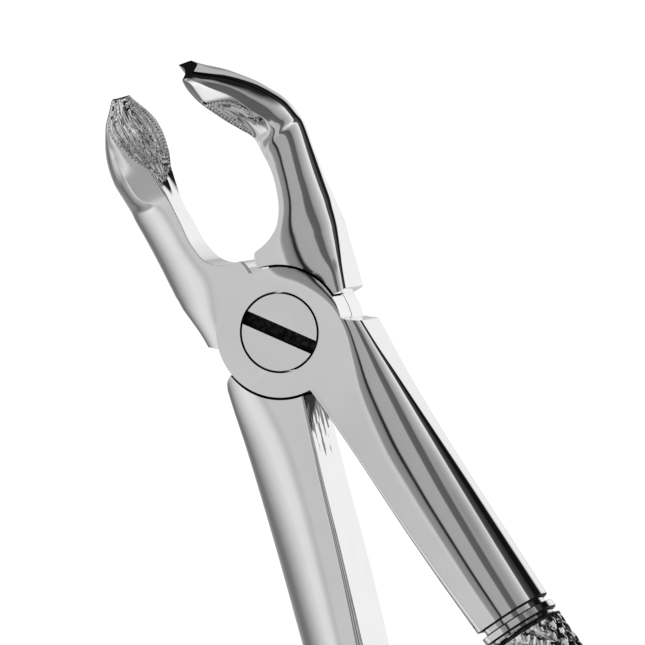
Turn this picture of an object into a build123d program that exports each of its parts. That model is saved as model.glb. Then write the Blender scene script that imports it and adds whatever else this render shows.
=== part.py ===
from build123d import *
import os
from math import cos, radians, sin

# Dental extraction forceps: two forged halves that cross in a lap joint, and the slotted screw
# that they turn on. Millimetres. The screw's axis is Z, the beaks point to +Y, the handles to -Y,
# and the back face of the joint lies on Z = 0. The front half owns the left jaw and the right
# handle, the back half the right jaw and the left handle.

# ---- driving dimensions -------------------------------------------------------------------
THICK = 10.0            # thickness of the joint, both halves together
MID = THICK / 2         # height of the plane where the halves slide on each other
JOINT_R = 7.5           # radius of the round joint line
PLAY = 0.12             # half of the gap along the round joint line
SLIDE_GAP = 0.02        # gap between the two sliding faces

HEAD_R = 4.45           # screw head
HEAD_H = 2.6
SHANK_R = 3.0           # plain part of the screw that the front half turns on
THREAD_R = 2.6          # part of the screw fixed in the back half
RUN_GAP = 0.05          # running clearance round the screw
SLOT_W = 1.5            # driver slot
SLOT_DEPTH = 1.3
SLOT_ANGLE = -46.5      # direction of the slot from +X

SPREAD_RIGHT = 10.8     # angle of each handle from the middle plane
SPREAD_LEFT = 8.0
AXIS_X = 3.78           # where the handle's centre line crosses Y = 0
STRAIGHT = 62.0         # straight length of the handle's centre line
CURVED = 76.0           # length that curves back towards the other handle
CURVE_BACK = 10.0       # angle that it curves through
SHOULDER_RIGHT = -1.2   # Y where each handle starts beside the round joint line
SHOULDER_LEFT = -2.2
FLAT_TO = 9.0           # length over which the handle stays as thick as the joint
RING_AT = 42.0          # end of the smooth shank, measured along the centre line
RING_STEP = 0.84        # width of each ring and groove
GROOVE_DEPTH = 0.6
GRIP_AT = RING_AT + 3 * RING_STEP
HANDLE_END = STRAIGHT + CURVED
END_ROUND = 5.0         # length over which the handle's end is rounded off

BEAK_BEND = 23.0        # forward bend of the beaks
JAW_FROM = 10.9         # Y where the throat ends and the jaw begins
CREASE_A = 19.3         # Y of the crease between jaw and beak, left
CREASE_B = 20.9         # the same, right
BLEND = 0.5523          # control length that makes a Bezier curve a quarter ellipse

DISC_R = JOINT_R - PLAY
POCKET_R = JOINT_R + PLAY


# ---- jaws and beaks -----------------------------------------------------------------------
# A jaw is a row of seven-cornered sections. Each corner is (distance outwards from the middle
# plane, height above the front face): front rim, front outer edge, upper and lower edge of the
# outer side, back outer edge, back rim, and the hollow of the inner side.
def jaw_corners(inner, outer, thick):
    return [(inner, 0), (outer - 2.0, 0), (outer, -1.6), (outer, 1.4 - thick),
            (outer - 1.2, -thick), (inner, -thick), (inner, -thick / 2)]


# rows of (Y, inner side, outer side, thickness), from inside the joint up to the crease
ROOT_A = [(-1.0, 0.0, 8.6, 10.0), (8.4, 0.0, 10.3, 10.0), (JAW_FROM, 0.0, 10.5, 8.0)]
ROOT_B = [(-1.0, 0.0, 9.3, 10.0), (8.4, 0.0, 10.4, 10.0), (JAW_FROM, 0.0, 10.65, 8.0)]
JAW_A = [(JAW_FROM, 4.75, 10.5, 8.0), (13.0, 5.4, 10.75, 6.5), (16.0, 5.6, 11.1, 5.9)]
JAW_B = [(JAW_FROM, 4.35, 10.65, 8.0), (13.0, 5.75, 10.95, 6.5), (16.0, 6.4, 11.25, 5.9),
         (18.6, 6.4, 11.45, 5.6)]
CREASE_CORNERS_A = jaw_corners(5.6, 11.45, 5.2)
CREASE_CORNERS_B = jaw_corners(6.1, 11.6, 5.3)

# rows of (distance from the crease, lean of the section, corners) along the bent beak
BEAK_A = [
    (3.5, 23, [(5.9, -0.1), (9.6, -0.2), (11.4, -1.9), (11.3, -4.2), (9.6, -5.6), (4.8, -4.6), (6.4, -2.5)]),
    (7.0, 20, [(7.6, -0.8), (9.0, -0.9), (10.5, -2.3), (10.2, -4.4), (8.4, -5.8), (4.2, -5.0), (6.9, -3.0)]),
    (10.2, 11, [(7.4, -0.7), (8.0, -0.8), (8.9, -2.0), (8.4, -3.9), (7.0, -5.0), (4.4, -4.6), (6.6, -2.7)]),
    (13.0, 0, [(5.4, -0.1), (5.8, -0.2), (6.2, -1.2), (6.1, -2.6), (5.6, -3.7), (4.9, -3.8), (5.3, -2.0)]),
]
BEAK_B = [
    (3.0, 23, [(4.3, 0.0), (7.0, 0.2), (10.6, -1.2), (11.0, -3.6), (9.0, -5.4), (3.6, -5.6), (5.4, -2.8)]),
    (6.0, 23, [(2.4, -0.6), (5.2, 0.1), (8.4, -0.6), (9.0, -3.2), (7.2, -5.6), (1.6, -6.0), (3.6, -3.2)]),
    (8.5, 22, [(2.2, 0.4), (3.6, 0.8), (6.0, -0.2), (6.6, -2.6), (4.8, -5.0), (1.3, -5.6), (3.2, -2.6)]),
    (10.4, 21, [(2.5, 1.1), (2.9, 1.2), (3.7, 0.2), (4.0, -2.4), (2.9, -4.8), (1.2, -5.2), (2.9, -2.4)]),
]

# plan outlines of the jaw roots: joint end, outer side (oversize), throat, stop face, inside
ROOT_PLAN_A = [(-0.8, 9.05), (-0.25, 7.6), (0.6, 5.0), (-5.0, 0.5), (-7.1, 0.85), (-7.9, 1.45),
               (-14.0, 5.7), (-14.0, JAW_FROM), (-4.75, JAW_FROM)]
THROAT_A = [(-4.75, JAW_FROM), (-3.3, 9.6), (-0.8, 9.05)]
ROOT_PLAN_B = [(1.0, 9.35), (0.5, 7.6), (-0.6, 5.0), (5.0, 0.5), (7.2, 1.35), (8.4, 1.5),
               (14.0, 4.2), (14.0, JAW_FROM), (4.35, JAW_FROM)]
THROAT_B = [(4.35, JAW_FROM), (3.1, 10.05), (1.0, 9.35)]


def section(side, y, z, lean, corners):
    """Seven-cornered face across a jaw, on a plane that leans back about X."""
    rise = radians(lean)
    place = [(side * u, y - w * sin(rise), z + w * cos(rise)) for u, w in corners]
    return make_face(Polyline(place, close=True))


def jaw(side, root, root_plan, throat, rows, crease_y, crease_corners, beak_rows):
    """A jaw from inside the joint to the tip of its beak."""
    envelope = loft([section(side, y, THICK, 0, jaw_corners(*size)) for y, *size in root])
    plan = make_face(Polyline(root_plan) + Spline(throat))
    solid = envelope & extrude(plan, 2 * THICK)
    crease = section(side, crease_y, THICK, BEAK_BEND / 2, crease_corners)
    solid += loft([section(side, y, THICK, 0, jaw_corners(*size)) for y, *size in rows] + [crease])
    rise = radians(BEAK_BEND)
    faces = [section(side, crease_y + at * cos(rise), THICK + at * sin(rise), lean, corners)
             for at, lean, corners in beak_rows]
    return solid + loft([crease] + faces)


# ---- handles ------------------------------------------------------------------------------
# (length s, width, thickness, rounding of the outer side across and in height, inner edge)
HANDLE_SIZES = [(0.0, 9.0, 10.0, 1.9, 1.3, 0.15), (FLAT_TO, 8.7, 10.0, 4.0, 2.6, 0.2),
                (26.0, 8.3, 11.6, 5.6, 4.9, 0.6), (RING_AT, 7.7, 12.4, 5.3, 5.4, 0.85),
                (GRIP_AT, 7.9, 12.4, 5.2, 5.4, 1.2), (70.0, 8.4, 12.8, 5.4, 5.6, 1.6),
                (100.0, 8.8, 12.6, 5.4, 5.5, 1.8), (HANDLE_END - END_ROUND, 7.2, 9.6, 4.2, 4.1, 1.9),
                (HANDLE_END, 7.0, 9.2, 4.1, 3.9, 1.9)]


def handle_size(s):
    """Section sizes at length s, eased from each listed size to the next."""
    for low, high in zip(HANDLE_SIZES, HANDLE_SIZES[1:]):
        if s <= high[0]:
            t = (s - low[0]) / (high[0] - low[0])
            ease = t * t * (3 - 2 * t)
            return [a + (b - a) * ease for a, b in zip(low[1:], high[1:])]
    return HANDLE_SIZES[-1][1:]


def handle_place(s, side):
    """Plane across the handle at length s: X points outwards, Z along the handle."""
    spread = radians(SPREAD_RIGHT if side > 0 else SPREAD_LEFT)
    bend = max(s - STRAIGHT, 0.0)
    heading = spread - radians(CURVE_BACK) * bend / CURVED
    middle = (spread + heading) / 2
    x = AXIS_X + min(s, STRAIGHT) * sin(spread) + bend * sin(middle)
    y = -min(s, STRAIGHT) * cos(spread) - bend * cos(middle)
    return Plane(origin=(side * x, y, MID), x_dir=(side * cos(heading), sin(heading), 0),
                 z_dir=(side * sin(heading), -cos(heading), 0))


def rounded_corner(start, corner, end):
    """Quarter ellipse from start to end that would meet in the given corner."""
    control = [tuple(p + BLEND * (c - p) for p, c in zip(point, corner)) for point in (start, end)]
    return Bezier(start, control[0], control[1], end)


def handle_face(s, side, inset=0.0, scale=1.0):
    """D-shaped section: flat towards the other handle, rounded on the outside."""
    width, thick, round_x, round_z, edge = [scale * (v - inset) for v in handle_size(s)]
    a = (width - inset) / 2
    h = (thick - inset) / 2
    edge = max(edge, 0.2)
    lines = Line((-a, h - edge), (-a, edge - h))
    lines += rounded_corner((-a, edge - h), (-a, -h), (edge - a, -h))
    lines += Line((edge - a, -h), (a - round_x, -h))
    lines += rounded_corner((a - round_x, -h), (a, -h), (a, round_z - h))
    lines += Line((a, round_z - h), (a, h - round_z))
    lines += rounded_corner((a, h - round_z), (a, h), (a - round_x, h))
    lines += Line((a - round_x, h), (edge - a, h))
    lines += rounded_corner((edge - a, h), (-a, h), (-a, h - edge))
    return handle_place(s, side) * make_face(lines)


def spread_out(low, high, count):
    return [low + (high - low) * i / count for i in range(count + 1)]


def handle(side):
    """A handle: smooth shank, two grooves with a ring between them, and the grip."""
    solid = loft([handle_face(s, side) for s in (0.0, FLAT_TO)])
    solid += loft([handle_face(s, side) for s in spread_out(FLAT_TO, RING_AT, 6)])
    solid += loft([handle_face(s, side) for s in spread_out(GRIP_AT, HANDLE_END - END_ROUND, 9)])
    for i in range(3):
        inset = 0.0 if i == 1 else GROOVE_DEPTH
        solid += extrude(handle_face(RING_AT + i * RING_STEP, side, inset), RING_STEP)
    end_faces = []
    for a in spread_out(0.0, 75.0, 5):
        s = HANDLE_END + END_ROUND * (sin(radians(a)) / sin(radians(75.0)) - 1)
        end_faces.append(handle_face(s, side, scale=cos(radians(a))))
    return solid + loft(end_faces)


def shoulder_cut(side):
    """Space beside the joint where the other half's jaw swings."""
    top = SHOULDER_RIGHT if side > 0 else SHOULDER_LEFT
    outline = [(side * 3.0, 12.0), (side * 3.0, top + 2.5), (side * 7.3, top), (side * 14.0, top - 4.0),
               (side * 14.0, 12.0)]
    return Pos(0, 0, -10) * extrude(make_face(Polyline(outline, close=True)), 40.0)


# ---- the three pieces ---------------------------------------------------------------------
def cylinder(radius, low, high):
    return Pos(0, 0, low) * Cylinder(radius, high - low, align=(Align.CENTER, Align.CENTER, Align.MIN))


def front_half():
    """Left jaw, front disc and right handle in one forging."""
    left_jaw = jaw(-1, ROOT_A, ROOT_PLAN_A, THROAT_A, JAW_A, CREASE_A, CREASE_CORNERS_A, BEAK_A)
    blocks = left_jaw + (handle(1) - shoulder_cut(1)) - cylinder(POCKET_R, -5.0, MID + SLIDE_GAP)
    solid = blocks + cylinder(DISC_R, MID + SLIDE_GAP, THICK)
    solid -= cylinder(SHANK_R + RUN_GAP, 0.0, THICK)
    return solid - cylinder(HEAD_R + RUN_GAP, THICK - HEAD_H - SLIDE_GAP, 2 * THICK)


def back_half():
    """Right jaw, back disc and left handle in one forging."""
    right_jaw = jaw(1, ROOT_B, ROOT_PLAN_B, THROAT_B, JAW_B, CREASE_B, CREASE_CORNERS_B, BEAK_B)
    blocks = right_jaw + (handle(-1) - shoulder_cut(-1)) - cylinder(POCKET_R, MID, 2 * THICK)
    solid = blocks + cylinder(DISC_R, 0.0, MID)
    return solid - cylinder(THREAD_R, 0.0, THICK)


def pivot_screw():
    """Slotted screw: head flush with the front, shank as the pivot, end riveted flush at the back."""
    solid = cylinder(HEAD_R, THICK - HEAD_H, THICK) + cylinder(SHANK_R, MID, THICK - 1)
    solid += cylinder(THREAD_R, 0.0, MID)
    slot = Box(3 * HEAD_R, SLOT_W, SLOT_DEPTH, align=(Align.CENTER, Align.CENTER, Align.MAX))
    return solid - Pos(0, 0, THICK) * Rot(0, 0, SLOT_ANGLE) * slot


os.makedirs("parts", exist_ok=True)
for name, solid in (("front_half", front_half()), ("back_half", back_half()),
                    ("pivot_screw", pivot_screw())):
    export_step(solid, f"parts/{name}.step")
    box = solid.bounding_box()
    print(name, "volume", round(solid.volume, 1), "solids", len(solid.solids()),
          "low", tuple(round(v, 2) for v in box.min), "high", tuple(round(v, 2) for v in box.max))
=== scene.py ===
"""Dental extraction forceps in mirror-polished steel, lying on a pale floor.

Shapes are worked out in millimetres in the part's own frame (pivot on the Z axis, beaks towards
+Y, screw head towards +Z) and scaled to metres when a piece is finished.
"""
from math import cos, pi, radians, sin

import bmesh
import bpy
import numpy as np
from mathutils import Matrix, Vector


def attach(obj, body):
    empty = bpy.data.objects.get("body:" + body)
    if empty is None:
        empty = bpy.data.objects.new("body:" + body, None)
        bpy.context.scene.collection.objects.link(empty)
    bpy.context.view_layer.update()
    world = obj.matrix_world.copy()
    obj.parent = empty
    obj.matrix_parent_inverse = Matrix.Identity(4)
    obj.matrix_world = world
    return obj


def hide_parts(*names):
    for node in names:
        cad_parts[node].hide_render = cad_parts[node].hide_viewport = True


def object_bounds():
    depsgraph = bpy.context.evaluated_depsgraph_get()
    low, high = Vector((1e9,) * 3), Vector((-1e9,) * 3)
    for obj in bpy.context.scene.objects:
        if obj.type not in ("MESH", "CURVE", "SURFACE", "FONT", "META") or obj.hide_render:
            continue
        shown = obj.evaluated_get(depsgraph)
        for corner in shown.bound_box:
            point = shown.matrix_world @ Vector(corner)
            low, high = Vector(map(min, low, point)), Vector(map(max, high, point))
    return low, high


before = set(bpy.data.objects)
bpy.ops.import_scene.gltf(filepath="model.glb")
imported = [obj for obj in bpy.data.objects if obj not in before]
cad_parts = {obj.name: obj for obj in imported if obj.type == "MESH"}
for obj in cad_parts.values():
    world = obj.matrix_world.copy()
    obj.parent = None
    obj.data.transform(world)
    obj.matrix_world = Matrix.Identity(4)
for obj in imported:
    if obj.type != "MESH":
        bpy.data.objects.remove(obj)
cad_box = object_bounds()

# ---------------------------------------------------------------- sizes, mm
THICK = 10.0            # joint, front to back
MID = THICK / 2         # plane on which the two halves slide
DISC_R = 7.36           # disc of each half
POCKET_R = 7.66         # round pocket of the other half
SLIDE = 0.01            # each half's share of the sliding gap
SEAM_R = 7.2            # foot of the fine groove between the two discs
SEAM = 0.12             # half of the height of that groove
HIDDEN_Y = 2.3          # further than this from the X axis, a disc's rim faces a pocket
HEAD_R = 4.42           # screw head
HEAD_H = 2.6
HEAD_GAP = 0.19         # gap round the screw head
SHANK_R = 3.0           # plain part of the screw, which the front half turns on
THREAD_R = 2.6          # part of the screw that is fixed in the back half
BORE_GAP = 0.05
SLOT_W = 1.6            # driver slot
SLOT_DEPTH = 1.3
SLOT_ANGLE = -46.5      # degrees from the X axis
SPREAD = {1: 10.8, -1: 8.0}     # degrees of the right (1) and the left (-1) handle from the Y axis
AXIS_X = 3.78           # where a handle's axis crosses the X axis
STRAIGHT = 62.0         # handle length before it curves back
CURVED = 76.0
CURVE_BACK = 10.0       # degrees that it curves through
LEDGE = 6.72            # handle length just below the disc
RING_AT = 40.2          # handle length where the ring grooves start
RING_STEP = 0.84        # width of a ring and of a groove
GROOVE = 0.6
SHADE = 0.14            # width of the painted shade line in each corner of the ring grooves
GRIP_AT = RING_AT + 3 * RING_STEP
HANDLE_END = 138.0
END_ROUND = 5.0         # length over which the handle's end is rounded off
BEAK_BEND = 23.0        # how far the beaks bend forward, degrees
EDGE = 0.06             # fine edge left by polishing
BELOW, ABOVE = -3.0, 13.0       # reach of the cutting bodies past both faces of the joint
MM = 0.001


# ---------------------------------------------------------------- mesh tools
def as_array(value):
    return np.array(value, dtype=float)


def smooth_step(t):
    t = np.clip(t, 0.0, 1.0)
    return t * t * (3 - 2 * t)


def spline(at, rows, wanted):
    """Rows (stations, ...) blended at the wanted places by cubic pieces that never overshoot."""
    at, rows, wanted = as_array(at), as_array(rows), as_array(wanted)
    shape = rows.shape[1:]
    rows = rows.reshape(len(at), -1)
    step = np.diff(at)
    slope = np.diff(rows, axis=0) / step[:, None]
    tangent = np.zeros_like(rows)
    tangent[0], tangent[-1] = slope[0], slope[-1]
    before, after = step[:-1, None], step[1:, None]
    tangent[1:-1] = (slope[:-1] * after + slope[1:] * before) / (before + after)
    k = np.clip(np.searchsorted(at, wanted, side="right") - 1, 0, len(step) - 1)
    h = step[k][:, None]
    t = (wanted[:, None] - at[k][:, None]) / h
    out = ((2 * t**3 - 3 * t**2 + 1) * rows[k] + (t**3 - 2 * t**2 + t) * h * tangent[k]
           + (3 * t**2 - 2 * t**3) * rows[k + 1] + (t**3 - t**2) * h * tangent[k + 1])
    return out.reshape((len(wanted),) + shape)


def rounded_rings(corners, back, ahead, arc_steps, edge_steps):
    """Rings of points round polygons whose corners are rounded.

    corners is (rings, corners, 3); back and ahead are how far before and after each corner its
    rounding starts and ends, in mm; arc_steps and edge_steps give each corner's and side's points.
    """
    nxt = np.roll(corners, -1, axis=1) - corners
    length = np.linalg.norm(nxt, axis=2)
    total = ahead + np.roll(back, -1, axis=1)
    fit = np.minimum(1.0, 0.98 * length / np.maximum(total, 1e-9))
    ahead = ahead * fit
    back = back * np.roll(fit, 1, axis=1)
    unit = nxt / np.maximum(length, 1e-9)[..., None]
    start = corners - np.roll(unit, 1, axis=1) * back[..., None]
    end = corners + unit * ahead[..., None]
    parts = []
    for k in range(corners.shape[1]):
        t = np.linspace(0, pi / 2, arc_steps[k] + 1)[None, :, None]
        a, c, b = (v[:, k][:, None] for v in (start, corners, end))
        parts.append(a + (c - a) * np.sin(t) + (b - c) * (1 - np.cos(t)))
        e = edge_steps[k]
        if e > 1:
            t = (np.arange(1, e) / e)[None, :, None]
            following = start[:, (k + 1) % corners.shape[1]][:, None]
            parts.append(b + (following - b) * t)
    return np.concatenate(parts, axis=1)


def tube_mesh(rings):
    """A closed body: rings of points joined by quads, with an end face at each end."""
    count, around = rings.shape[:2]
    index = np.arange(count * around).reshape(count, around)
    a, b = index[:-1], index[1:]
    quads = np.stack([a, np.roll(a, -1, axis=1), np.roll(b, -1, axis=1), b], axis=-1).reshape(-1, 4)
    faces = quads.tolist() + [index[0][::-1].tolist(), index[-1].tolist()]
    return body(rings.reshape(-1, 3), faces)


def body(points, faces):
    mesh = bpy.data.meshes.new("work")
    mesh.from_pydata([tuple(p) for p in points], [], faces)
    bm = bmesh.new()
    bm.from_mesh(mesh)
    bmesh.ops.recalc_face_normals(bm, faces=bm.faces)
    bm.to_mesh(mesh)
    bm.free()
    return link(mesh, "work")


def link(mesh, name):
    piece = bpy.data.objects.new(name, mesh)
    bpy.context.scene.collection.objects.link(piece)
    return piece


def prism(outline, low, high):
    """An upright body over an outline of (x, y) points."""
    n = len(outline)
    points = [(x, y, z) for z in (low, high) for x, y in outline]
    sides = [[k, (k + 1) % n, n + (k + 1) % n, n + k] for k in range(n)]
    return body(points, [list(range(n))[::-1], [n + k for k in range(n)]] + sides)


def lathe(profile, steps):
    """A closed body turned about the pivot axis, through (height, radius) points."""
    turn = np.linspace(0, 2 * pi, steps, endpoint=False)
    rings = [np.stack([r * np.cos(turn), r * np.sin(turn), np.full(steps, z)], axis=-1)
             for z, r in profile]
    return tube_mesh(np.stack(rings))


def drum(radius, low, high, steps=256):
    """An upright cylinder on the pivot axis."""
    return lathe([(low, radius), (high, radius)], steps)


def combine(target, tool, operation):
    """Exact boolean of two closed bodies; the tool is used up."""
    modifier = target.modifiers.new("cut", "BOOLEAN")
    modifier.operation = operation
    modifier.solver = "EXACT"
    modifier.object = tool
    result = target.evaluated_get(bpy.context.evaluated_depsgraph_get())
    applied = bpy.data.meshes.new_from_object(result)
    target.modifiers.clear()
    old = target.data
    target.data = applied
    bpy.data.meshes.remove(old)
    spent = tool.data
    bpy.data.objects.remove(tool)
    bpy.data.meshes.remove(spent)
    return target


def cut(target, tool):
    return combine(target, tool, "DIFFERENCE")


def join(target, tool):
    return combine(target, tool, "UNION")


WELD = 0.0004           # points closer than this are one
SHARP = 32.0            # edges that turn by more degrees than this stay sharp


def finish_piece(piece, name, stands_for, body_name, materials, gets_painted_shade):
    """Cleans the body, scales it to metres, sets its shading, hides the part it stands for and puts it
    under its body.
    """
    mesh = piece.data
    mesh.materials.clear()
    for material in materials:
        mesh.materials.append(material)
    bm = bmesh.new()
    bm.from_mesh(mesh)
    bmesh.ops.remove_doubles(bm, verts=bm.verts, dist=WELD)
    bmesh.ops.dissolve_degenerate(bm, edges=bm.edges, dist=WELD)
    bmesh.ops.recalc_face_normals(bm, faces=bm.faces)
    for edge in bm.edges:
        edge.smooth = len(edge.link_faces) == 2 and edge.calc_face_angle(0.0) < radians(SHARP)
    for face in bm.faces:
        face.smooth = True
        # faces picked out here get the painted shade material
        face.material_index = 1 if gets_painted_shade(face.calc_center_median(), face.normal) else 0
    bmesh.ops.scale(bm, vec=(MM, MM, MM), verts=bm.verts)
    bm.to_mesh(mesh)
    bm.free()
    weighted = piece.modifiers.new("even_normals", "WEIGHTED_NORMAL")
    weighted.keep_sharp = True
    weighted.weight = 50
    piece.name = name
    mesh.name = name
    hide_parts(stands_for)
    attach(piece, body_name)
    return piece


# ---------------------------------------------------------------- handles and discs
def handle_frames(s, side):
    """Middle point and outward direction of a handle at lengths s."""
    s = as_array(s)
    spread = radians(SPREAD[side])
    bend = np.maximum(s - STRAIGHT, 0.0)
    heading = spread - radians(CURVE_BACK) * bend / CURVED
    middle = (spread + heading) / 2
    x = AXIS_X + np.minimum(s, STRAIGHT) * sin(spread) + bend * np.sin(middle)
    y = -np.minimum(s, STRAIGHT) * cos(spread) - bend * np.cos(middle)
    return np.stack([x, y], axis=-1), np.stack([np.cos(heading), np.sin(heading)], axis=-1)


FAR = 17.0              # reach of the stock that the disc is cut from, past the handle's inner side
# length, inner side, outer side, thickness, rounding of the outer edges across and in height, inner edge
HANDLE_PART = {
    1: [(-10.0, -4.48, 5.40, 10.0, 6.3, 3.7, EDGE),
        (-6.0, -4.48, 5.20, 10.0, 6.0, 3.3, EDGE),
        (-3.3, -4.48, 5.00, 10.0, 3.6, 2.1, EDGE),
        (0.0, -4.48, 4.85, 10.0, 2.0, 1.3, EDGE),
        (3.6, -4.48, 4.72, 10.0, 2.1, 1.35, 0.10),
        (LEDGE, -4.48, 4.52, 10.0, 3.1, 1.8, 0.14),
        (10.0, -4.37, 4.38, 10.1, 4.3, 2.6, 0.18),
        (16.8, -4.22, 4.18, 10.75, 5.5, 3.9, 0.22),
        (24.0, -4.20, 4.08, 11.45, 5.6, 4.9, 0.30),
        (32.0, -4.05, 3.98, 12.1, 5.4, 5.5, 0.45),
        (RING_AT, -3.80, 3.88, 12.4, 5.1, 5.9, 0.70)],
    -1: [(-10.0, -4.48, 4.60, 10.0, 5.0, 2.4, EDGE),
         (-3.3, -4.48, 4.52, 10.0, 3.6, 2.0, EDGE),
         (0.0, -4.48, 4.42, 10.0, 3.2, 1.7, EDGE),
         (3.6, -4.48, 4.36, 10.0, 3.8, 1.8, 0.10),
         (LEDGE, -4.48, 4.34, 10.0, 4.7, 2.1, 0.16),
         (10.0, -4.37, 4.32, 10.1, 5.4, 2.8, 0.24),
         (16.8, -4.15, 4.30, 10.75, 5.9, 3.9, 0.34),
         (24.0, -4.05, 4.30, 11.45, 5.9, 4.8, 0.44),
         (32.0, -3.80, 4.30, 12.1, 5.7, 5.3, 0.55),
         (RING_AT, -3.42, 4.30, 12.4, 5.4, 5.6, 0.75)],
}
GRIP_PART = [
    (GRIP_AT, -3.75, 3.98, 12.4, 5.2, 5.6, 1.2),
    (70.0, -4.00, 4.40, 12.7, 5.4, 5.6, 1.6),
    (100.0, -4.35, 4.35, 12.5, 5.4, 5.5, 1.8),
    (HANDLE_END - END_ROUND, -3.60, 3.60, 9.6, 4.2, 4.1, 1.9),
    (HANDLE_END, -3.50, 3.50, 9.2, 4.1, 3.9, 1.9),
]
ARC = [8, 18, 18, 8]    # steps round each corner and along each side of a handle's section
SIDE = [10, 6, 10, 10]


def handle_rings(rows, s, side, inset=0.0, wide=False):
    """Sections across the handle at lengths s; inset takes the whole section in, and a wide section
    reaches over the disc."""
    rows = as_array(rows)
    size = spline(rows[:, 0], rows[:, 1:], s)
    inner, outer, thick, across, high, inner_edge = size.T
    if wide:
        inner = np.full_like(inner, -FAR)
    inset = np.broadcast_to(as_array(inset), (len(s),))
    inner, outer, thick = inner + inset, outer - inset, thick - 2 * inset
    across, high = across - inset / 2, high - inset / 2
    middle, outward = handle_frames(s, side)

    def at(u, z):
        xy = middle + outward * u[:, None]
        return np.stack([xy[:, 0], xy[:, 1], z], axis=-1)

    top, bottom = MID + thick / 2, MID - thick / 2
    corners = np.stack([at(inner, top), at(outer, top), at(outer, bottom), at(inner, bottom)], axis=1)
    back = np.stack([inner_edge, across, high, inner_edge], axis=1)
    ahead = np.stack([inner_edge, high, across, inner_edge], axis=1)
    return rounded_rings(corners, back, ahead, ARC, SIDE)


def even_ring(ring, count):
    """The same closed outline sampled at even distances."""
    closed = np.vstack([ring, ring[:1]])
    run = np.concatenate([[0], np.cumsum(np.linalg.norm(np.diff(closed, axis=0), axis=1))])
    wanted = np.arange(count) / count * run[-1]
    return np.stack([np.interp(wanted, run, closed[:, k]) for k in range(3)], axis=-1)


GRIP_AROUND = 112       # points round the grip
GRIP_LAP = 0.4          # how far the grip reaches up under the last ring groove
GRIP_SINK = 0.62        # how far its upper end is sunk there
KNURL_STEP = 0.31       # distance between the rings of points along the grip
KNURL_CELL = 4          # points across one half of a knurl
KNURL_DEEP = 0.55
KNURL_CREST = 0.62      # share of the way to a knurl's middle at which it is flat
KNURL_WEAR = 0.16       # largest share of its height that a knurl has lost
WEAR_CELLS = 400        # knurls each way before the wear repeats


def knurl_height(i, j):
    """Height, from 0 to 1, of the low pyramids between crossing grooves at point j of ring i."""
    wobble = 0.35 * np.sin(i * 0.19 + j * 2 * pi / GRIP_AROUND * 3) + 0.3 * np.sin(i * 0.071 + 1.3)
    a = (i + j + wobble) / KNURL_CELL / 2
    b = (i - j + wobble * 0.6) / KNURL_CELL / 2
    crest = np.minimum(np.abs(a - np.round(a)), np.abs(b - np.round(b))) * 2
    rng = np.random.default_rng(11)
    wear = rng.uniform(0.0, KNURL_WEAR, size=(WEAR_CELLS, WEAR_CELLS))
    column, row = np.floor(a).astype(int) % WEAR_CELLS, np.floor(b).astype(int) % WEAR_CELLS
    return np.minimum(crest / KNURL_CREST, 1.0) * (1 - wear[column, row])


def rounded_end(side):
    """Rings that round off the handle's end."""
    turn = np.linspace(0.08, pi / 2 - 0.04, 14)
    rings = handle_rings(GRIP_PART, HANDLE_END - END_ROUND + END_ROUND * np.sin(turn), side)
    even = np.stack([even_ring(ring, GRIP_AROUND) for ring in rings])
    centre = even.mean(axis=1, keepdims=True)
    return centre + (even - centre) * np.cos(turn)[:, None, None] ** 0.7


def knurled_grip(side):
    """The gripping length: a closed body covered in low pyramids cut by crossing grooves."""
    s = np.arange(GRIP_AT - GRIP_LAP, HANDLE_END - END_ROUND, KNURL_STEP)
    even = np.stack([even_ring(ring, GRIP_AROUND) for ring in handle_rings(GRIP_PART, s, side)])
    inward = even.mean(axis=1, keepdims=True) - even
    inward /= np.linalg.norm(inward, axis=2, keepdims=True)
    height = knurl_height(np.arange(len(s))[:, None], np.arange(GRIP_AROUND)[None, :])
    knurled = smooth_step((s - GRIP_AT) / 0.3) * smooth_step((HANDLE_END - END_ROUND - s) / 0.8)
    sunk = 1 - smooth_step((s - GRIP_AT + 0.32) / 0.3)
    drop = KNURL_DEEP * (1 - height) * knurled[:, None] + GRIP_SINK * sunk[:, None]
    even = even + inward * drop[..., None]
    return tube_mesh(np.concatenate([even, rounded_end(side)]))


def plain_handle(side):
    """From above the joint to the ring grooves, as one smooth body."""
    rows = HANDLE_PART[side]
    disc_s = np.concatenate([np.arange(-10.0, LEDGE, 0.4), [LEDGE]])
    upper = handle_rings(rows, disc_s, side, wide=True)
    low_s = np.concatenate([[LEDGE + 0.02], np.arange(7.2, RING_AT - EDGE - 0.3, 0.8), [RING_AT - EDGE]])
    lower = handle_rings(rows, low_s, side)
    e = EDGE
    first, second = RING_AT + RING_STEP, RING_AT + 2 * RING_STEP
    steps = [(RING_AT, e), (RING_AT, GROOVE), (RING_AT + SHADE, GROOVE), (first - SHADE, GROOVE),
             (first, GROOVE), (first, e), (first + e, 0.0), (second - e, 0.0), (second, e),
             (second, GROOVE), (second + SHADE, GROOVE), (GRIP_AT - SHADE, GROOVE), (GRIP_AT, GROOVE)]
    ring_s, inset = as_array(steps).T
    grooves = handle_rings(rows + GRIP_PART[:1], ring_s, side, inset)
    return tube_mesh(np.concatenate([upper, lower, grooves]))


def joint_relief(side, shoulder):
    """What is cut away round the disc, down to the handle's shoulder and inner side."""
    middle, outward = handle_frames(as_array([0.0]), side)
    middle, outward = middle[0], outward[0]
    along = as_array([outward[1], -outward[0]])

    def at(u, s):
        return tuple(middle + outward * u + along * s)

    outline = [at(-4.47, LEDGE + 0.05), at(-4.47, 5.0), (0.0, 0.0)] + shoulder
    outline += [(20.0, shoulder[-1][1] - 1.0), (20.0, 16.0), (-22.0, 16.0), (-22.0, -12.0)]
    outline += [at(-9.0, LEDGE + 1.5)]
    return cut(prism(outline, BELOW, ABOVE), drum(DISC_R, BELOW - 1, ABOVE + 1))


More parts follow.
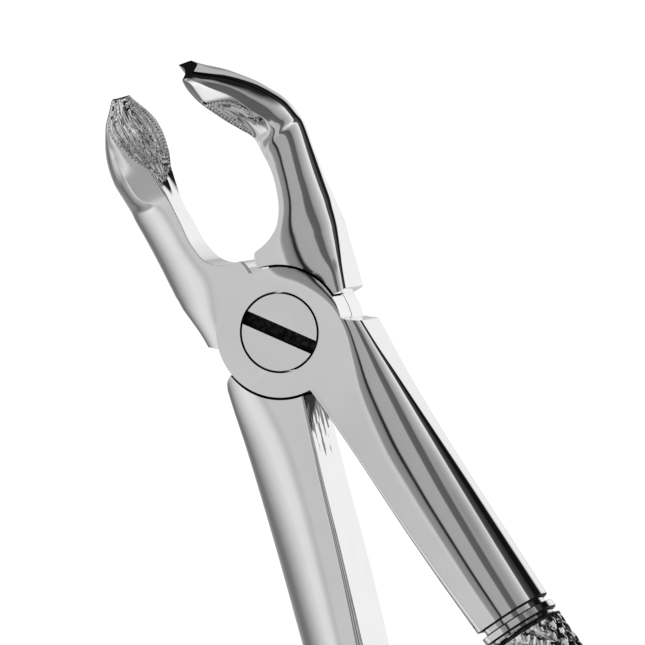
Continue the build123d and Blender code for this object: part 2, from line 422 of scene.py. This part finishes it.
def handle_and_disc(side, shoulder):
    """One half without its jaw, drawn on the right with its disc in front."""
    half = cut(plain_handle(side), joint_relief(side, shoulder))
    return join(half, knurled_grip(side))


def turn_over(piece):
    """Swaps left and right, and front and back."""
    piece.data.transform(Matrix(((-1, 0, 0, 0), (0, 1, 0, 0), (0, 0, -1, THICK), (0, 0, 0, 1))))
    return piece


# ---------------------------------------------------------------- jaws and beaks
# Corners of every section, in order: near rim, facet edge, ridge, outer upper, outer lower, far corner,
# far rim, far flute, spine, near flute. Near is the side that faces forward.
JAW_ARC = [3, 6, 8, 16, 14, 8, 3, 10, 4, 10]        # steps round each corner, then along each side
JAW_SIDE = [3, 3, 3, 3, 4, 3, 14, 10, 10, 14]
ROOT_STEP, BEAK_STEP = 0.3, 0.085       # distance between sections
TOOTH = 0.40            # from one tooth on a rim to the next
TOOTH_DEEP = 0.34
RIM = 0.85              # width of the toothed rims
RIBS = 11               # ribs side by side between the rims
RIB_DEEP = 0.17
FACE_STEP = 0.002       # how far the jaws' front faces lie below the joint's
FLUTE_SHARE = (0.22, 0.48, 0.76)    # far flute, spine and near flute between the far and the near rim


def leaning(y, z, lean, u, w):
    """A point u outwards and w forward in a section that leans forward by lean degrees."""
    return (u, y - w * sin(radians(lean)), z + w * cos(radians(lean)))


def beak_row(crease_y, at, lean, outline, deep, spine=0.12):
    """A section of the beak: outline has seven (outwards, forward, rounding), deep is the flutes' depth
    and spine the spine's share of it."""
    y = crease_y + at * cos(radians(BEAK_BEND))
    z = THICK + at * sin(radians(BEAK_BEND))
    corners = [leaning(y, z, lean, u, w) for u, w, _ in outline]
    near, far = as_array(corners[0]), as_array(corners[6])
    away = (as_array(corners[3]) + as_array(corners[4])) / 2 - (near + far) / 2
    away /= np.linalg.norm(away)
    push = (deep, deep * spine, deep)
    flutes = [tuple(far + (near - far) * share + away * p) for share, p in zip(FLUTE_SHARE, push)]
    soft = [(r, r) for _, _, r in outline] + [(1.1, 0.8), (0.12, 0.12), (0.8, 1.1)]
    return corners + flutes, soft


def root_row(outer, inner, low, crown, back_round):
    """A section of the jaw's root between a point on its outer side and one on its inner side."""
    (xo, yo), (xi, yi) = outer, inner
    front = THICK - FACE_STEP
    width = ((xo - xi) ** 2 + (yo - yi) ** 2) ** 0.5
    across = min(crown[0], width * 0.9)
    flat = 1 - across / width

    def at(t, z):
        return (xi + (xo - xi) * t, yi + (yo - yi) * t, z)

    corners = [at(0, front), at(flat * 0.3, front), at(flat * 0.7, front), at(1, front), at(1, low),
               at(0.4, low), at(0, low)] + [at(0, low + (front - low) * share) for share in FLUTE_SHARE]
    soft = [(EDGE, EDGE), (0.1, 0.1), (0.1, 0.1), (across, crown[1]), (back_round[1], back_round[0]),
            (0.3, 0.3), (EDGE, EDGE), (0.5, 0.5), (0.3, 0.3), (0.5, 0.5)]
    return corners, soft


def ring_starts():
    """Index in a ring at which each corner's rounding starts, and the ring's length."""
    starts, k = [], 0
    for arc, side in zip(JAW_ARC, JAW_SIDE):
        starts.append(k)
        k += arc + side
    return starts, k


def serrate(rings, rails, run, begin, end):
    """Teeth along both rims and fine ribs along the flutes, from the crease to the tip."""
    starts, count = ring_starts()
    inner = np.arange(starts[6] + 1, count + 2) % count
    face = rings[:, inner]
    away = (rails[:, 3] + rails[:, 4] - rails[:, 0] - rails[:, 6]) / 2
    into = np.cross(np.gradient(face, axis=1), np.gradient(face, axis=0))
    into *= np.where(np.sum(into * away[:, None], axis=2, keepdims=True) < 0, -1.0, 1.0)
    into /= np.maximum(np.linalg.norm(into, axis=2, keepdims=True), 1e-9)
    to_near = np.linalg.norm(face - rails[:, None, 0], axis=2)
    to_far = np.linalg.norm(face - rails[:, None, 6], axis=2)
    rim = 1 - smooth_step(np.minimum(to_near, to_far) / RIM)
    reach = smooth_step((run - begin) / 0.7) * smooth_step((end - run) / 0.5)
    slant = run[:, None] + 0.25 * np.where(to_far < to_near, to_far, -to_near)
    saw = np.abs(((slant / TOOTH) % 1.0) - 0.5) * 2
    across = np.cumsum(np.linalg.norm(np.diff(face, axis=1, prepend=face[:, :1]), axis=2), axis=1)
    share = across / across[:, -1:]
    ribs = 0.5 - 0.5 * np.cos(2 * pi * (share * RIBS + 0.06 * run[:, None]))
    depth = TOOTH_DEEP * rim * saw + RIB_DEEP * ribs * (1 - rim)
    rings = rings.copy()
    rings[:, inner] = face + into * (depth * reach[:, None])[..., None]
    return rings


def jaw_body(rows, first_beak, side):
    """One jaw and beak through its sections, from inside the joint to the tip."""
    corners = as_array([[(side * x, y, z) for x, y, z in row[0]] for row in rows])
    soft = as_array([row[1] for row in rows])
    run = np.concatenate([[0], np.cumsum(np.linalg.norm(np.diff(corners.mean(axis=1), axis=0), axis=1))])
    begin = run[first_beak]
    wanted = np.concatenate([np.arange(0, begin, ROOT_STEP),
                             np.arange(begin, run[-1] - 0.02, BEAK_STEP), run[-1:]])
    rails = spline(run, corners, wanted)
    soft = np.maximum(spline(run, soft, wanted), 0.004)
    rings = rounded_rings(rails, soft[..., 0], soft[..., 1], JAW_ARC, JAW_SIDE)
    rings = serrate(rings, rails, wanted, begin, run[-1])
    return tube_mesh(rings)


def clear_end(jaw, outline, side):
    """Cuts the jaw's lower end face beside the joint."""
    tool = prism([(side * x, y) for x, y in outline], BELOW, ABOVE)
    return cut(jaw, cut(tool, drum(DISC_R - 0.05, BELOW - 1, ABOVE + 1)))


def left_jaw():
    """The jaw whose beak narrows to a point; y is where the beak bends forward."""
    y = 19.3
    rows = [
        root_row((8.45, 0.90), (4.0, -2.6), 0.002, (2.2, 1.0), (1.2, 1.0)),
        root_row((8.80, 3.40), (2.5, 0.5), 0.002, (2.8, 1.2), (1.6, 1.2)),
        root_row((9.38, 5.60), (1.0, 3.5), 0.002, (3.6, 1.6), (2.4, 1.6)),
        root_row((9.85, 7.20), (0.15, 6.6), 0.002, (4.6, 2.1), (3.4, 2.2)),
        root_row((10.00, 8.00), (0.28, 7.7), 0.10, (5.0, 2.4), (3.8, 2.3)),
        root_row((10.12, 8.60), (0.80, 9.05), 0.35, (5.2, 2.5), (4.0, 2.3)),
        root_row((10.22, 9.50), (2.05, 9.28), 0.80, (5.2, 2.7), (4.0, 2.3)),
        root_row((10.32, 10.50), (3.40, 9.68), 1.45, (5.2, 2.8), (4.0, 2.3)),
        root_row((10.42, 11.80), (4.62, 10.65), 2.35, (5.0, 2.9), (3.8, 2.2)),
        root_row((10.55, 13.60), (5.38, 12.70), 3.35, (4.6, 2.9), (3.6, 2.1)),
        root_row((10.80, 16.40), (5.62, 16.00), 4.20, (4.4, 2.8), (3.6, 2.0)),
        root_row((10.98, 18.40), (5.74, 18.30), 4.70, (4.2, 2.6), (3.4, 1.9)),
        beak_row(y, 0.9, 20, [(5.80, 0.0, .1), (7.0, 0.0, .4), (8.2, 0.0, .8), (11.1, 0.0, 3.5),
                              (11.15, -4.6, 2.0), (9.0, -5.3, .8), (5.2, -5.1, .1)], 0.25),
        beak_row(y, 3.5, 22, [(6.0, 0.0, .08), (7.0, 0.0, .4), (8.3, 0.0, 1.0), (11.1, 0.0, 2.7),
                              (11.1, -4.5, 2.0), (9.6, -5.6, .9), (4.15, -4.6, .1)], 1.1),
        beak_row(y, 6.4, 21, [(7.3, -0.3, .08), (7.9, -0.3, .3), (8.6, -0.3, .7), (10.5, -0.5, 2.0),
                              (10.4, -4.8, 1.8), (8.6, -5.8, .9), (3.8, -5.0, .1)], 1.6),
        beak_row(y, 7.9, 18, [(7.75, -0.5, .06), (8.1, -0.5, .15), (8.6, -0.5, .5), (9.85, -0.7, 1.5),
                              (9.8, -4.7, 1.7), (8.0, -5.6, .9), (3.85, -4.9, .1)], 1.7),
        beak_row(y, 9.3, 14, [(7.95, -0.5, .06), (8.15, -0.5, .12), (8.4, -0.5, .4), (9.1, -0.7, 1.1),
                              (9.0, -4.4, 1.5), (7.6, -5.4, .9), (4.1, -4.8, .1)], 1.5),
        beak_row(y, 10.6, 10, [(7.5, -0.45, .06), (7.65, -0.45, .12), (7.8, -0.5, .3), (8.3, -0.7, .7),
                               (8.2, -3.9, 1.2), (6.9, -5.0, .8), (4.4, -4.6, .1)], 1.2),
        beak_row(y, 11.9, 5, [(6.6, -0.3, .06), (6.75, -0.3, .1), (6.9, -0.35, .2), (7.15, -0.6, .4),
                              (7.1, -3.4, .8), (6.2, -4.4, .6), (4.65, -4.2, .08)], 0.7, 0.3),
        beak_row(y, 13.1, 0, [(5.75, -0.1, .05), (5.85, -0.1, .08), (5.95, -0.15, .1), (6.05, -0.4, .15),
                              (6.0, -2.8, .3), (5.5, -3.9, .3), (4.85, -4.0, .06)], 0.3, 1.0),
    ]
    jaw = jaw_body(rows, 12, -1)
    notch = [(6.9, 0.55), (7.3, 1.05), (7.9, 1.45), (8.5, 1.8), (9.05, 2.25), (10.5, 3.0),
             (12.0, -2.0), (6.0, -3.0)]
    return clear_end(jaw, notch, -1)


def right_jaw():
    """The jaw with the broad beak; y is where it bends forward."""
    y = 20.9
    rows = [
        root_row((8.60, 0.80), (4.0, -2.6), 0.002, (2.0, 1.5), (1.2, 1.0)),
        root_row((9.10, 3.50), (2.6, 0.6), 0.002, (3.6, 2.1), (1.6, 1.2)),
        root_row((9.45, 5.60), (1.2, 3.5), 0.002, (5.6, 3.0), (2.4, 1.6)),
        root_row((9.78, 7.10), (0.4, 6.7), 0.002, (6.2, 3.4), (3.4, 2.2)),
        root_row((9.98, 8.00), (0.55, 7.8), 0.10, (6.3, 3.6), (3.8, 2.3)),
        root_row((10.15, 8.70), (1.00, 9.35), 0.35, (6.3, 3.6), (4.0, 2.3)),
        root_row((10.30, 9.60), (2.00, 9.60), 0.80, (6.2, 3.7), (4.0, 2.3)),
        root_row((10.44, 10.60), (3.15, 10.06), 1.45, (6.0, 3.7), (4.0, 2.3)),
        root_row((10.65, 11.80), (4.45, 11.00), 2.35, (5.6, 3.7), (3.8, 2.2)),
        root_row((10.78, 13.20), (5.40, 12.40), 3.20, (5.2, 3.6), (3.6, 2.1)),
        root_row((10.95, 15.20), (6.05, 14.20), 3.90, (4.8, 3.5), (3.6, 2.0)),
        root_row((11.20, 18.00), (6.52, 17.10), 4.55, (4.4, 3.2), (3.4, 1.9)),
        root_row((11.42, 20.70), (6.40, 19.20), 4.75, (4.3, 2.9), (3.4, 1.9)),
        beak_row(y, 0.35, 15, [(6.15, 0.0, .1), (6.8, -0.05, .3), (8.3, 0.1, .4), (11.15, -0.1, 2.6),
                              (11.35, -4.3, 2.0), (10.0, -5.3, 1.0), (5.9, -5.2, .1)], 0.3),
        beak_row(y, 1.9, 22, [(5.35, 0.1, .06), (6.05, -1.2, .8), (8.4, 0.3, .12), (10.6, -0.8, 1.7),
                              (11.0, -4.0, 2.0), (9.5, -5.4, 1.0), (4.9, -5.3, .1)], 0.9),
        beak_row(y, 3.5, 23, [(4.4, 0.2, .06), (5.1, -1.4, .9), (7.6, 0.45, .08), (9.8, -1.0, 1.5),
                              (10.2, -3.8, 1.9), (8.4, -5.5, 1.0), (3.4, -5.5, .1)], 1.4),
        beak_row(y, 5.0, 23, [(3.5, 0.0, .06), (4.1, -1.0, .45), (6.9, 0.4, .06), (8.8, -0.9, 1.4),
                              (9.3, -3.7, 1.9), (7.4, -5.6, 1.0), (2.4, -5.8, .1)], 1.6),
        beak_row(y, 6.2, 23, [(2.75, -0.35, .05), (3.4, -0.15, .05), (6.2, 0.35, .05), (7.9, -0.7, 1.3),
                              (8.4, -3.4, 1.8), (6.6, -5.4, .9), (1.75, -5.9, .1)], 1.6),
        beak_row(y, 8.0, 22, [(2.3, 0.05, .05), (3.1, 0.4, .05), (4.8, 0.6, .05), (6.3, -0.3, 1.1),
                              (6.8, -3.0, 1.6), (5.2, -5.3, .8), (1.4, -5.7, .1)], 1.3, 0.4),
        beak_row(y, 9.6, 21, [(2.3, 0.7, .05), (3.05, 0.95, .05), (3.7, 1.0, .05), (4.7, 0.1, .8),
                              (5.0, -2.6, 1.2), (3.6, -5.0, .6), (1.25, -5.3, .08)], 0.9, 0.9),
        beak_row(y, 10.4, 21, [(2.45, 1.1, .05), (2.75, 1.15, .05), (3.0, 1.1, .05), (3.8, 0.2, .5),
                               (4.1, -2.4, .6), (2.9, -4.8, .3), (1.2, -5.2, .06)], 0.6, 1.3),
    ]
    jaw = jaw_body(rows, 13, 1)
    notch = [(6.6, 1.25), (7.2, 1.4), (8.4, 1.5), (9.0, 1.72), (9.5, 2.05), (10.8, 2.6),
             (12.0, -2.0), (6.0, -3.0)]
    return clear_end(jaw, notch, 1)


# ---------------------------------------------------------------- the three pieces
# outline of each handle's shoulder beside the joint, from the disc outwards
RIGHT_SHOULDER = [(6.2, -0.55), (7.17, -1.24), (7.4, -1.52), (8.0, -1.96), (9.4, -2.64)]
LEFT_SHOULDER = [(6.2, -1.3), (7.62, -2.36), (7.95, -2.55), (8.25, -2.85), (8.5, -3.4)]


def in_a_recess(side, *radii):
    """Tells the walls of round recesses of these radii and the ring grooves of the handle, which
    get painted shade, from polished faces."""
    turn = radians(SPREAD[side])

    def gets_painted_shade(centre, normal):
        r = (centre.x ** 2 + centre.y ** 2) ** 0.5
        upright = abs(normal.z) < 0.5
        wall = upright and any(abs(r - wanted) < 0.03 for wanted in radii)
        rim = upright and abs(r - DISC_R) < 0.03 and abs(centre.y) > HIDDEN_Y
        flank = not upright and abs(abs(centre.z - MID) - SEAM) < 0.02
        s = (centre.x - side * AXIS_X) * side * sin(turn) - centre.y * cos(turn)
        low = any(abs(s - RING_AT - k * RING_STEP) < SHADE - 0.01 for k in range(4))
        return wall or rim or flank or low
    return gets_painted_shade


def seam():
    """The fine groove left round the joint where the two discs meet."""
    return cut(drum(POCKET_R - 0.02, MID - SEAM, MID + SEAM), drum(SEAM_R, 0.0, THICK))


def in_slot(centre, normal):
    """Tells the slot's floor and walls and the head's rim, which get painted shade, from the head's face.
    """
    r = (centre.x ** 2 + centre.y ** 2) ** 0.5
    return MID < centre.z < THICK - 0.01 and (r < HEAD_R - 0.3 or abs(normal.z) < 0.9)


def front_half(steel):
    half = handle_and_disc(1, RIGHT_SHOULDER)
    half = join(half, left_jaw())
    half = cut(half, drum(POCKET_R, BELOW, MID + SLIDE))
    half = cut(half, seam())
    half = cut(half, drum(SHANK_R + BORE_GAP, BELOW, ABOVE, 128))
    half = cut(half, drum(HEAD_R + HEAD_GAP, THICK - HEAD_H, ABOVE, 192))
    return finish_piece(half, "front_half_polished", "front_half", "front", steel,
                        in_a_recess(1, POCKET_R, HEAD_R + HEAD_GAP, SHANK_R + BORE_GAP, SEAM_R))


def back_half(steel):
    half = handle_and_disc(-1, LEFT_SHOULDER)
    turn_over(half)
    half = join(half, right_jaw())
    half = cut(half, drum(POCKET_R, MID - SLIDE, ABOVE))
    half = cut(half, seam())
    half = cut(half, drum(THREAD_R, BELOW, ABOVE, 128))
    return finish_piece(half, "back_half_polished", "back_half", "back", steel,
                        in_a_recess(-1, POCKET_R, SEAM_R))


def screw(steel):
    e = EDGE
    under = THICK - HEAD_H
    piece = lathe([(0.0, THREAD_R - e), (e, THREAD_R), (MID - 0.05, THREAD_R), (MID, SHANK_R),
                   (under - 0.02, SHANK_R), (under, HEAD_R - e), (under + e, HEAD_R),
                   (THICK - e, HEAD_R), (THICK, HEAD_R - e)], 192)
    half = SLOT_W / 2
    slot = prism([(-9, -half), (9, -half), (9, half), (-9, half)], THICK - SLOT_DEPTH, ABOVE)
    slot.data.transform(Matrix.Rotation(radians(SLOT_ANGLE), 4, "Z"))
    piece = cut(piece, slot)
    return finish_piece(piece, "pivot_screw_polished", "pivot_screw", "back", steel, in_slot)


# ---------------------------------------------------------------- materials
def node(tree, kind, **values):
    made = tree.nodes.new(kind)
    for key, value in values.items():
        setattr(made, key, value)
    return made


def feed(tree, value, socket):
    """Links an output to the socket, or sets the socket to a number or colour."""
    if isinstance(value, bpy.types.NodeSocket):
        tree.links.new(value, socket)
    else:
        socket.default_value = value


def ranged(tree, value, start, end, low=0.0, high=1.0, easing="LINEAR"):
    """Goes from low to high as the value goes from start to end."""
    made = node(tree, "ShaderNodeMapRange", interpolation_type=easing)
    names = ("Value", "From Min", "From Max", "To Min", "To Max")
    for name, number in zip(names, (value, start, end, low, high)):
        feed(tree, number, made.inputs[name])
    return made.outputs["Result"]


def calculate(tree, operation, *values):
    made = node(tree, "ShaderNodeMath", operation=operation)
    for socket, value in zip(made.inputs, values):
        feed(tree, value, socket)
    return made.outputs[0]


def product(tree, *values):
    total = values[0]
    for value in values[1:]:
        total = calculate(tree, "MULTIPLY", total, value)
    return total


def mixed(tree, factor, first, second, blend="MIX"):
    """The second colour over the first, as strong as the factor."""
    made = node(tree, "ShaderNodeMix", data_type="RGBA", blend_type=blend)
    for name, value in (("Factor", factor), ("A", first), ("B", second)):
        feed(tree, value, made.inputs[name])
    return made.outputs["Result"]


def noise(tree, place, scale, detail=3.0, stretch=(1, 1, 1), turn=0.0):
    """Noise over the object, stretched along one direction to look brushed."""
    mapping = node(tree, "ShaderNodeMapping")
    mapping.inputs["Rotation"].default_value = (0, 0, turn)
    mapping.inputs["Scale"].default_value = stretch
    grain = node(tree, "ShaderNodeTexNoise")
    grain.inputs["Scale"].default_value = scale
    grain.inputs["Detail"].default_value = detail
    tree.links.new(place.outputs["Object"], mapping.inputs["Vector"])
    tree.links.new(mapping.outputs["Vector"], grain.inputs["Vector"])
    return grain.outputs["Fac"]


def parts_of(tree, place):
    """X, Y and Z of the point on the object."""
    apart = node(tree, "ShaderNodeSeparateXYZ")
    tree.links.new(place.outputs["Object"], apart.inputs["Vector"])
    return apart.outputs


def painted_cut_shade(tree, place, hollow):
    """How strong the painted shade in the cuts of the knurling and of the serrations is; none near the
    joint.
    """
    away = calculate(tree, "ABSOLUTE", parts_of(tree, place)["Y"])
    return product(tree, ranged(tree, away, 17 * MM, 19 * MM),
                   ranged(tree, hollow, 0.42, 0.485, 0.9, 0.0))


def crotch_dark_patch(tree, place):
    """How strongly a ragged near-black patch is painted on the walls deep between the handles, just below
    the joint.
    """
    x, y, z = parts_of(tree, place)
    streaks = noise(tree, place, 500, 3.0, (1.6, 0.35, 1.2))
    ragged = calculate(tree, "MULTIPLY_ADD", streaks, 22 * MM, y)
    return product(tree, ranged(tree, ragged, -1.2 * MM, -0.4 * MM),
                   ranged(tree, y, -7.3 * MM, -6.8 * MM, 1.0, 0.0),
                   ranged(tree, z, 9.6 * MM, 9.85 * MM, 1.0, 0.0),
                   ranged(tree, calculate(tree, "ABSOLUTE", x), 2.6 * MM, 3.0 * MM, 1.0, 0.0))


def polished_steel(name, shade, rough, brushed, turn):
    """Mirror-polished stainless steel: soft waviness, fine lengthwise polishing lines, hairline
    scratches, handling marks that dull it in places, brighter edges that are partly wear and partly
    painted highlight, painted shade in the knurl and serration cuts, and a painted near-black patch
    between the handles."""
    material = bpy.data.materials.new(name)
    material.use_nodes = True
    tree = material.node_tree
    shader = tree.nodes["Principled BSDF"]
    shader.inputs["Metallic"].default_value = 1.0
    place = node(tree, "ShaderNodeTexCoord")
    waves = noise(tree, place, 90, 1.0)
    lines = noise(tree, place, 900, 4.0, (6, 0.35, 6), turn)
    hairs = noise(tree, place, 2600, 2.0, (1, 0.02, 1), turn + 0.5)
    marks = noise(tree, place, 260, 5.0)
    grain = noise(tree, place, 5200, 2.0)

    tone = mixed(tree, ranged(tree, marks, 0.3, 0.7),
                 (shade * 0.955, shade * 0.96, shade * 0.965, 1), (shade, shade, shade, 1))
    hollow = node(tree, "ShaderNodeNewGeometry").outputs["Pointiness"]
    # brighter convex edges: partly wear, partly painted highlight
    wear_and_highlight = mixed(tree, ranged(tree, hollow, 0.54, 0.62, 0.0, 0.8), tone, (0.99, 0.99, 0.985, 1))
    # painted shade in the cuts of the knurling and of the serrations
    cuts = mixed(tree, painted_cut_shade(tree, place, hollow), wear_and_highlight, (0.03, 0.03, 0.03, 1))
    # a painted near-black ragged patch deep between the handles, just below the joint
    crotch = mixed(tree, crotch_dark_patch(tree, place), cuts, (0.012, 0.012, 0.012, 1))
    feed(tree, crotch, shader.inputs["Base Color"])

    clean = ranged(tree, marks, 0.35, 0.75, rough * 0.75, rough * 1.5)
    dull = calculate(tree, "MULTIPLY_ADD", ranged(tree, lines, 0.3, 0.7), brushed, clean)
    feed(tree, dull, shader.inputs["Roughness"])

    normal = None
    relief = ((waves, 0.010), (lines, 0.00035 + brushed * 0.004), (hairs, 0.0002), (grain, 0.0002))
    for value, amount in relief:
        bump = node(tree, "ShaderNodeBump")
        bump.inputs["Strength"].default_value = 1.0
        bump.inputs["Distance"].default_value = amount * MM
        feed(tree, value, bump.inputs["Height"])
        if normal:
            feed(tree, normal, bump.inputs["Normal"])
        normal = bump.outputs["Normal"]
    feed(tree, normal, shader.inputs["Normal"])
    return material


def painted_recess_shade(name):
    """Rough, unpolished steel with painted shade: near black in the slot and in the narrow gaps, where
    shade falls.
    """
    material = bpy.data.materials.new(name)
    material.use_nodes = True
    tree = material.node_tree
    shader = tree.nodes["Principled BSDF"]
    shader.inputs["Metallic"].default_value = 0.4
    shader.inputs["Roughness"].default_value = 0.55
    shader.inputs["Specular IOR Level"].default_value = 0.2
    grain = node(tree, "ShaderNodeTexNoise")
    grain.inputs["Scale"].default_value = 1500
    tone = node(tree, "ShaderNodeValToRGB")
    dark, light = tone.color_ramp.elements
    dark.position, light.position = 0.42, 0.72
    dark.color, light.color = (0.004, 0.004, 0.004, 1), (0.06, 0.06, 0.06, 1)
    place = node(tree, "ShaderNodeTexCoord")
    tree.links.new(place.outputs["Object"], grain.inputs["Vector"])
    tree.links.new(grain.outputs["Fac"], tone.inputs["Fac"])
    tree.links.new(tone.outputs["Color"], shader.inputs["Base Color"])
    return material


# ---------------------------------------------------------------- light, floor and camera
TILT = 15.0             # how far the camera leans from straight above, degrees
TURN = 9.321            # how far the picture is turned about the line of sight, degrees
UPRIGHT = Vector((0, 0, 1))
ACROSS = Vector((0.969, -0.247, 0.0))      # direction in which the camera leans
ALONG = Vector((-0.247, -0.969, 0.0))      # level direction at right angles to it, towards the handles
CAMERA_DIR = Vector((0.251, -0.064, 0.966))
DISTANCE = 1.6          # from the joint to the camera, m
VIEW_WIDTH = 72.7       # width of the picture at the joint's front face
VIEW_RIGHT, VIEW_UP = 4.731, 1.086      # from the joint's centre to the picture's
# angle of a reflection from straight up, towards ACROSS, and how bright the studio is there
STUDIO = [(-180, 0.65), (-165, 0.55), (-140, 0.32), (-115, 0.17), (-98, 0.19), (-78, 0.38),
          (-58, 0.62), (-42, 0.77), (-30, 0.74), (-20, 0.50), (-11.5, 0.64), (-9.5, 0.28),
          (1, 0.24), (4, 0.015), (7, 0.015), (10, 0.38), (38, 0.40), (41, 0.12), (57, 0.10),
          (61, 0.30), (84, 0.52), (98, 0.76), (104, 0.98), (107, 0.09), (126, 0.06), (130, 0.01),
          (154, 0.01), (157, 0.40), (161, 0.93), (180, 0.88)]


def studio_ramp(tree, angle):
    """Brightness of the studio at an angle in radians."""
    ramp = node(tree, "ShaderNodeValToRGB")
    stops = ramp.color_ramp.elements
    stops[0].position, stops[1].position = 0.0, 1.0
    for at, _ in STUDIO[1:-1]:
        stops.new((at + 180) / 360)
    for stop, (_, level) in zip(stops, STUDIO):
        stop.color = (level, level, level, 1)
    feed(tree, calculate(tree, "MULTIPLY_ADD", angle, 1 / (2 * pi), 0.5), ramp.inputs["Fac"])
    return ramp.outputs["Color"]


def studio_world():
    """Surroundings whose brightness depends on the direction; plain white behind the object."""
    world = bpy.data.worlds.new("studio")
    bpy.context.scene.world = world
    world.use_nodes = True
    tree = world.node_tree
    tree.nodes.clear()
    place = node(tree, "ShaderNodeTexCoord")

    def share_of(direction):
        made = node(tree, "ShaderNodeVectorMath", operation="DOT_PRODUCT")
        made.inputs[1].default_value = direction
        tree.links.new(place.outputs["Generated"], made.inputs[0])
        return made.outputs["Value"]

    def fade(value, start, end, low=0.0, high=1.0):
        return ranged(tree, value, start, end, low, high, "SMOOTHSTEP")

    across, along, up = share_of(ACROSS), share_of(ALONG), share_of(UPRIGHT)
    colour = studio_ramp(tree, calculate(tree, "ARCTAN2", across, up))
    colour = mixed(tree, 1.0, colour, fade(along, 0.15, 0.75, 1.0, 1.36), "MULTIPLY")
    above = product(tree, fade(along, -0.42, -0.66), fade(up, -0.5, -0.28), fade(up, 0.42, 0.27))
    under = product(tree, fade(along, -0.15, -0.4), fade(up, -0.25, -0.5))
    beyond = product(tree, fade(along, -0.2, -0.45), fade(across, -0.02, -0.2), fade(up, 0.15, -0.15))
    behind = product(tree, fade(along, 0.35, 0.6), fade(across, -0.12, -0.4), fade(up, -0.25, 0.05))
    for where, left in ((above, 0.02), (under, 0.55), (beyond, 0.03), (behind, 0.36)):
        colour = mixed(tree, where, colour, (left, left, left, 1), "MULTIPLY")
    seen = node(tree, "ShaderNodeLightPath").outputs["Is Camera Ray"]
    lit = node(tree, "ShaderNodeBackground")
    out = node(tree, "ShaderNodeOutputWorld")
    feed(tree, mixed(tree, seen, colour, (1, 1, 1, 1)), lit.inputs["Color"])
    tree.links.new(lit.outputs[0], out.inputs["Surface"])


def pale_floor(height):
    """A plain level floor that mirror reflections leave out."""
    half = 3.0
    corners = [(-half, -half, height), (half, -half, height), (half, half, height), (-half, half, height)]
    mesh = bpy.data.meshes.new("floor")
    mesh.from_pydata(corners, [], [(0, 1, 2, 3)])
    floor = link(mesh, "floor")
    material = bpy.data.materials.new("pale_floor")
    material.use_nodes = True
    shader = material.node_tree.nodes["Principled BSDF"]
    shader.inputs["Base Color"].default_value = (0.25, 0.25, 0.25, 1)
    shader.inputs["Roughness"].default_value = 0.9
    shader.inputs["Specular IOR Level"].default_value = 0.0
    shader.inputs["Emission Color"].default_value = (1, 1, 1, 1)
    shader.inputs["Emission Strength"].default_value = 0.97
    mesh.materials.append(material)
    floor.visible_glossy = False


def photo_camera():
    """A long lens over the joint, leaning to the right, turned so that the beaks point up and left."""
    toward = CAMERA_DIR.normalized()
    lean = (ACROSS * cos(radians(TILT)) - UPRIGHT * sin(radians(TILT))).normalized()
    level = lean.cross(toward)
    right = (lean * cos(radians(TURN)) + level * sin(radians(TURN))).normalized()
    up = toward.cross(right)
    data = bpy.data.cameras.new("photo_camera")
    data.sensor_width = 36.0
    data.lens = data.sensor_width * DISTANCE / (VIEW_WIDTH * MM)
    data.clip_start, data.clip_end = 0.05, 20
    camera = bpy.data.objects.new("photo_camera", data)
    bpy.context.scene.collection.objects.link(camera)
    target = (UPRIGHT * THICK + right * VIEW_RIGHT + up * VIEW_UP) * MM
    pose = Matrix((right, up, toward)).transposed().to_4x4()
    pose.translation = target + toward * DISTANCE
    camera.matrix_world = pose
    bpy.context.scene.camera = camera


bpy.context.scene.view_settings.view_transform = "Standard"
# painted shade for the slot, the narrow gaps, the recess walls and the corners of the ring grooves
recess_shade = painted_recess_shade("painted_recess_shade")
front = front_half([polished_steel("front_steel", 0.95, 0.055, 0.02, radians(-SPREAD[1])), recess_shade])
back = back_half([polished_steel("back_steel", 0.95, 0.055, 0.02, radians(SPREAD[-1])), recess_shade])
pin = screw([polished_steel("screw_face_steel", 0.95, 0.11, 0.06, radians(20)), recess_shade])
studio_world()
pale_floor(cad_box[0].z - 0.0002)
photo_camera()
